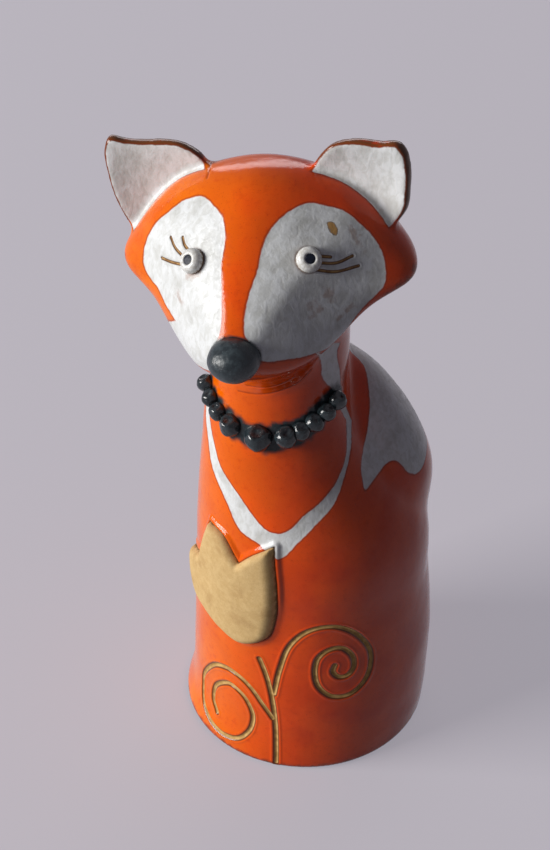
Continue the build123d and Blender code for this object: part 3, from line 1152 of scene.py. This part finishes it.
def fox_glaze():
    """Orange and white glazes on the clay, scored lines, the slate smears, and painted shade:
    deeper orange on the fox's left side, a shadow under one eye, and a contact shadow at the foot.
    """
    glaze = Recipe("fox_glaze")
    wide, fine = glaze.grain(11.0, 2.0), glaze.grain(1.6, 3.0, seed=2.0)
    speck = glaze.grain(0.35, 2.0)
    bend, white = glaze.layer("bend"), glaze.layer("white")
    east, _, rise = glaze.put("ShaderNodeSeparateXYZ", glaze.place).outputs

    # Deeper orange towards +X, the fox's left side: painted shade for the side turned away from
    # the window lamp. light is the lit side's orange.
    shaded_side = glaze.step(glaze.math("ADD", east, glaze.step(wide, 0.2, 0.8, -9.0, 9.0)), -26.0, 8.0)
    light = glaze.mottled(wide, 0.35, 0.65, (230, 100, 2), (240, 116, 3))
    shaded_orange = glaze.mottled(wide, 0.35, 0.65, (222, 66, 2), (236, 80, 3))
    thin = glaze.math("ADD", bend, glaze.step(fine, 0.3, 0.7, -0.08, 0.08))
    edge = glaze.math("ADD", white, glaze.step(fine, 0.25, 0.75, -0.1, 0.1))
    rim = glaze.math("ABSOLUTE", glaze.math("SUBTRACT", edge, -0.12))
    orange = glaze.tinted(
        glaze.blend(shaded_side, light, shaded_orange),
        (fine, 0.5, 0.75, 0.3, (200, 54, 6)),
        (speck, 0.58, 0.76, 0.5, (176, 48, 8)),
        (bend, -0.07, -0.36, 0.8, (140, 28, 6)),
        (thin, 0.26, 0.44, 1.0, (176, 60, 12)),
        (thin, 0.4, 0.54, 1.0, (112, 66, 28)),
        (rim, 0.55, 0.05, 0.55, (130, 44, 12)))

    streak_place = glaze.scaled(glaze.place, (0.8, 0.8, 0.45))
    streak = glaze.grain(1.3, 4.0, streak_place, 5.0, 0.9)
    cloud = glaze.grain(6.0, 3.0, seed=8.0, twist=0.6)
    # Brown smudges on the white, one of them a painted shadow under an eye button.
    smudge_and_shadow = glaze.math("ADD", glaze.layer("smudge_and_shadow"), glaze.step(fine, 0.3, 0.7, -0.4, 0.3))
    stain = glaze.math("ADD", glaze.layer("stain"), glaze.step(fine, 0.3, 0.7, -0.2, 0.2))
    pale = glaze.tinted(
        glaze.mottled(streak, 0.36, 0.62, (214, 216, 215), (230, 233, 235)),
        (cloud, 0.48, 0.7, 0.45, (176, 176, 170)),
        (speck, 0.64, 0.76, 0.35, (128, 116, 98)),
        (bend, -0.2, -0.45, 0.3, (160, 140, 116)),
        (smudge_and_shadow, 0.4, 1.0, 0.45, (150, 104, 72)),
        (stain, 0.34, 0.44, 0.8, (110, 84, 56)),
        (stain, 0.48, 0.58, 1.0, (176, 136, 84)))

    over = glaze.step(edge, -0.16, 0.2)
    colour = glaze.tinted(
        glaze.blend(over, orange, pale),
        (glaze.layer("seat"), 0.6, 0.05, 0.55, (90, 42, 18)),
        (glaze.layer("crease"), 0.4, 0.08, 0.5, (120, 34, 8)))
    slate = glaze.mottled(fine, 0.35, 0.65, (28, 36, 41), (48, 58, 62))
    colour = glaze.blend(glaze.layer("smear"), colour, slate)

    score, lash = glaze.layer("score"), glaze.layer("lash")
    groove = glaze.step(score, 0.66, 0.44)
    bare = glaze.mottled(fine, 0.35, 0.65, (176, 138, 80), (206, 168, 106))
    worn = glaze.mottled(fine, 0.35, 0.65, (134, 96, 52), (176, 138, 86))
    colour = glaze.tinted(colour, (score, 1.1, 0.72, 1.0, (112, 56, 14)),
                          (lash, 0.5, 0.3, 1.0, (92, 56, 30)))
    colour = glaze.blend(glaze.step(lash, 0.28, 0.14), colour, worn)
    colour = glaze.blend(groove, colour, bare)
    # Dark band along the lowest millimetre of the foot: its bare edge, darkened further as a
    # painted contact shadow.
    colour = glaze.tinted(colour, (rise, 0.9, 0.3, 0.8, (60, 36, 24)))

    glossy = glaze.step(fine, 0.3, 0.7, 0.1, 0.18)
    brushed = glaze.step(streak, 0.35, 0.65, 0.42, 0.26)
    roughness = glaze.between(groove, glaze.between(over, glossy, brushed), 0.75)
    brushing = glaze.math("MULTIPLY", glaze.math("SUBTRACT", streak, 0.5), 0.6)
    relief = glaze.math("MULTIPLY", brushing, over)
    relief = glaze.math("ADD", relief, glaze.math("MULTIPLY", fine, 0.25))
    return glaze.finish(colour, roughness, relief, 0.2, 0.26)


def slate_glaze(name, dark, light, shine, specular=0.5):
    """Blue-black glaze with a mottled skin."""
    slate = Recipe(name)
    fine, speck = slate.grain(1.3, 3.0), slate.grain(0.4, 2.0, seed=4.0)
    colour = slate.tinted(slate.mottled(fine, 0.35, 0.66, dark, light),
                          (speck, 0.6, 0.75, 0.5, (104, 116, 120)))
    roughness = slate.step(fine, 0.3, 0.7, shine, shine + 0.12)
    return slate.finish(colour, roughness, slate.grain(0.9, 3.0, seed=9.0), 0.12, specular)


def button_glaze():
    """White glaze of the eye buttons, brown where it runs thin at the seat."""
    glaze = Recipe("button_glaze")
    fine = glaze.grain(0.7, 3.0)
    low = glaze.math("ADD", glaze.layer("rise"), glaze.step(fine, 0.3, 0.7, -0.2, 0.2))
    colour = glaze.tinted(glaze.mottled(fine, 0.35, 0.65, (206, 204, 198), (232, 233, 232)),
                          (low, 0.9, 0.2, 1.0, (120, 92, 66)))
    return glaze.finish(colour, glaze.step(fine, 0.3, 0.7, 0.2, 0.32), fine, 0.06)


def bare_clay():
    """Sandy fired clay with darker stains."""
    clay = Recipe("bare_clay")
    cloud, fine, sand = clay.grain(7.0, 3.0), clay.grain(1.2, 3.0, seed=3.0), clay.grain(0.28, 3.0)
    low = clay.math("ADD", clay.layer("rise"), clay.step(fine, 0.3, 0.7, -0.3, 0.3))
    colour = clay.tinted(
        clay.mottled(fine, 0.3, 0.7, (202, 168, 112), (213, 181, 126)),
        (cloud, 0.5, 0.72, 0.5, (166, 126, 74)),
        (sand, 0.58, 0.74, 0.45, (136, 102, 62)),
        (sand, 0.42, 0.3, 0.4, (226, 198, 152)),
        (low, 1.0, 0.2, 0.8, (108, 72, 38)))
    relief = clay.math("ADD", sand, clay.math("MULTIPLY", fine, 0.4))
    return clay.finish(colour, clay.step(sand, 0.3, 0.7, 0.72, 0.9), relief, 0.09)


def make_tulip(clay):
    """The tulip's slab of bare clay, wrapped on the body."""
    middle, across, out = tulip_axes()

    def placed(local):
        return middle + local[:, :1] * across + local[:, 1:2] * upward + local[:, 2:] * out

    u = np.arange(-tulip_width / 2 - 2, tulip_width / 2 + 3, tulip_voxel)
    v = np.arange(-2.0, tulip_height + 3, tulip_voxel)
    w = np.arange(*tulip_span_out, tulip_voxel)
    grid = np.stack(np.meshgrid(u, v, w, indexing="ij"), 3)
    depth = loop_depth(tulip_loop(), grid[:, :, 0, :2].reshape(-1, 2)).reshape(len(u), len(v), 1)
    rise = Field.read(clay, placed(grid.reshape(-1, 3))).reshape(grid.shape[:3])
    slab = shared(np.broadcast_to(-depth, rise.shape), rise - tulip_thickness, tulip_rounding)
    slab = shared(slab, -rise - tulip_sink, tulip_back_rounding)
    corners, faces = grid_surface(slab)
    corners = placed(corners * tulip_voxel + np.array([u[0], v[0], w[0]]))
    rise = Field.read(clay, corners)
    swell = ramp(rise, 0.8, 1.8) * uneven(corners, tulip_waves)
    corners = corners + swell[:, None] * Field.slope(clay, corners)
    mesh = as_mesh("tulip", corners, faces, {"rise": rise})
    add_piece("tulip_slab", mesh, bare_clay(), "bare_clay", "tulip")


def make_eyes(eyes):
    """The eye buttons and the drops of dark glaze on them."""
    button, pupil = smooth_line(button_profile, 0.12), smooth_line(pupil_profile, 0.1)
    white = button_glaze()
    dark = slate_glaze("pupil_glaze", (8, 12, 22), (20, 28, 46), 0.35, 0.25)
    for number, (side, (seat, normal)) in enumerate(eyes.items()):
        corners, faces = lathe(button, 64, seat, normal)
        rise = (corners - seat) @ normal
        swell = 0.12 * lumps(corners, 2.8, 20 + number) * ramp(rise, -0.5, 0.6)
        corners = corners + swell[:, None] * (corners - seat) / eye_radius
        mesh = as_mesh(f"eye_{side}", corners, faces, {"rise": rise})
        add_piece(f"eye_button_{side}", mesh, white, "white_glaze", f"eye_{side}")
        mesh = as_mesh(f"pupil_{side}", *lathe(pupil, 40, seat, normal))
        add_piece(f"pupil_drop_{side}", mesh, dark, "slate_glaze", f"pupil_{side}")


def make_nose():
    """The ball on the end of the snout."""
    corners, faces = ball(5)
    local = corners * nose_half_sizes
    local *= (1.0 + uneven(local, nose_waves))[:, None]
    mesh = as_mesh("nose", head_points(local + np.array(nose_place)), faces)
    skin = slate_glaze("nose_glaze", (32, 41, 46), (50, 61, 66), 0.3)
    add_piece("nose_ball", mesh, skin, "slate_glaze", "nose")


def make_beads():
    """The balls pressed round the neck, each with a glossy dimple on top."""
    skin = slate_glaze("bead_glaze", (24, 32, 37), (46, 57, 62), 0.05)
    corners, faces = ball(4)
    for number, (name, (turn, radius)) in enumerate(bead_turns.items()):
        angle = math.radians(turn)
        top = Vector((bead_dimple_out * math.sin(angle), -bead_dimple_out * math.cos(angle),
                      bead_dimple_up)).normalized()
        away = np.arccos(np.clip(corners @ np.array(top), -1.0, 1.0))
        size = bead_fullness - bead_dimple_depth * (1.0 - ramp(away, 0.1, 0.55))
        size += bead_dimple_rim * bell(away - 0.62, 0.3)
        size += uneven(corners, [(0.13, 0.9, 40 + number), (0.03, 0.3, 60 + number)])
        made = corners * (radius * size)[:, None] + bead_centre(turn)
        add_piece(f"{name}_ball", as_mesh(name, made, faces), skin, "slate_glaze", name)


def show_to_camera(tree, plain, shown, output):
    """Let the camera and reflections see one shader, and the light that bounces another."""
    path = tree.nodes.new("ShaderNodeLightPath")
    seen = path.outputs["Is Camera Ray"]
    for kind in ("Is Glossy Ray", "Is Transmission Ray"):
        either = tree.nodes.new("ShaderNodeMath")
        either.operation = "MAXIMUM"
        tree.links.new(seen, either.inputs[0])
        tree.links.new(path.outputs[kind], either.inputs[1])
        seen = either.outputs[0]
    mix = tree.nodes.new("ShaderNodeMixShader")
    for socket, source in zip(mix.inputs, (seen, plain, shown)):
        tree.links.new(source, socket)
    tree.links.new(mix.outputs[0], output.inputs["Surface"])


def make_floor():
    """The floor, with a plain shader for the light that bounces and a paler one to look at."""
    floor_mesh = bpy.data.meshes.new("floor")
    half = floor_half
    rim = [(-half, -half, 0), (half, -half, 0), (half, half, 0), (-half, half, 0)]
    floor_mesh.from_pydata(rim, [], [(0, 1, 2, 3)])
    floor = bpy.data.objects.new("floor", floor_mesh)
    bpy.context.scene.collection.objects.link(floor)
    cover = bpy.data.materials.new("floor")
    cover.use_nodes = True
    nodes, links = cover.node_tree.nodes, cover.node_tree.links
    plain = nodes["Principled BSDF"]
    plain.inputs["Base Color"].default_value = paint(*floor_paint)
    plain.inputs["Roughness"].default_value = 0.9
    lit = nodes.new("ShaderNodeBsdfDiffuse")
    lit.inputs["Color"].default_value = paint(*lit_floor_paint)
    pale = nodes.new("ShaderNodeEmission")
    pale.inputs["Color"].default_value = paint(*seen_paint)
    pale.inputs["Strength"].default_value = seen_floor
    shown = nodes.new("ShaderNodeAddShader")
    links.new(lit.outputs[0], shown.inputs[0])
    links.new(pale.outputs[0], shown.inputs[1])
    show_to_camera(cover.node_tree, plain.outputs[0], shown.outputs[0], nodes["Material Output"])
    floor_mesh.materials.append(cover)


def make_lamps():
    """The window's light and the weaker light from behind."""
    for name, (place, width, height, power, colour) in lamps.items():
        lamp = bpy.data.lights.new(name, "AREA")
        lamp.shape = "RECTANGLE"
        lamp.energy = power
        lamp.size = width
        lamp.size_y = height
        lamp.color = colour
        held = bpy.data.objects.new(name, lamp)
        held.location = place
        held.visible_camera = False
        away = Vector(lamp_aim) - Vector(place)
        held.rotation_euler = away.to_track_quat("-Z", "Y").to_euler()
        bpy.context.scene.collection.objects.link(held)


def make_world():
    """The weak light from all round, and the paler background to look at."""
    world = bpy.data.worlds.new("world")
    world.use_nodes = True
    bpy.context.scene.world = world
    tree = world.node_tree
    ambient = tree.nodes["Background"]
    ambient.inputs["Color"].default_value = paint(*ambient_paint)
    ambient.inputs["Strength"].default_value = ambient_strength
    seen = tree.nodes.new("ShaderNodeBackground")
    seen.inputs["Color"].default_value = paint(*seen_paint)
    seen.inputs["Strength"].default_value = seen_world
    show_to_camera(tree, ambient.outputs[0], seen.outputs[0], tree.nodes["World Output"])


def make_camera():
    """The photograph's camera."""
    lens = bpy.data.cameras.new("photo_camera")
    lens.sensor_width = sensor_size
    lens.lens = focal_pixels * sensor_size / frame_height
    camera = bpy.data.objects.new("photo_camera", lens)
    camera.location = Vector(camera_place) * metre
    camera.rotation_euler = (math.radians(90 - camera_dip), 0, math.radians(camera_heading))
    bpy.context.scene.collection.objects.link(camera)
    bpy.context.scene.camera = camera
    bpy.context.scene.view_settings.view_transform = "Standard"


clay, parts, ears, trunk = make_clay()
corners, faces, data, eyes = shape_fox(clay, ears, trunk)
label = part_labels(corners, faces, parts, trunk)
normals = vertex_normals(corners, faces)
glaze = fox_glaze()
for name, (slot, *nodes) in clay_pieces.items():
    chosen = [face for face, part in zip(faces, label) if part == name]
    part = cut_part(corners, chosen, data, normals)
    add_piece(f"{name}_clay", as_mesh(name, *part), glaze, slot, *nodes)
make_tulip(clay)
make_eyes(eyes)
make_nose()
make_beads()
make_floor()
make_lamps()
make_world()
make_camera()
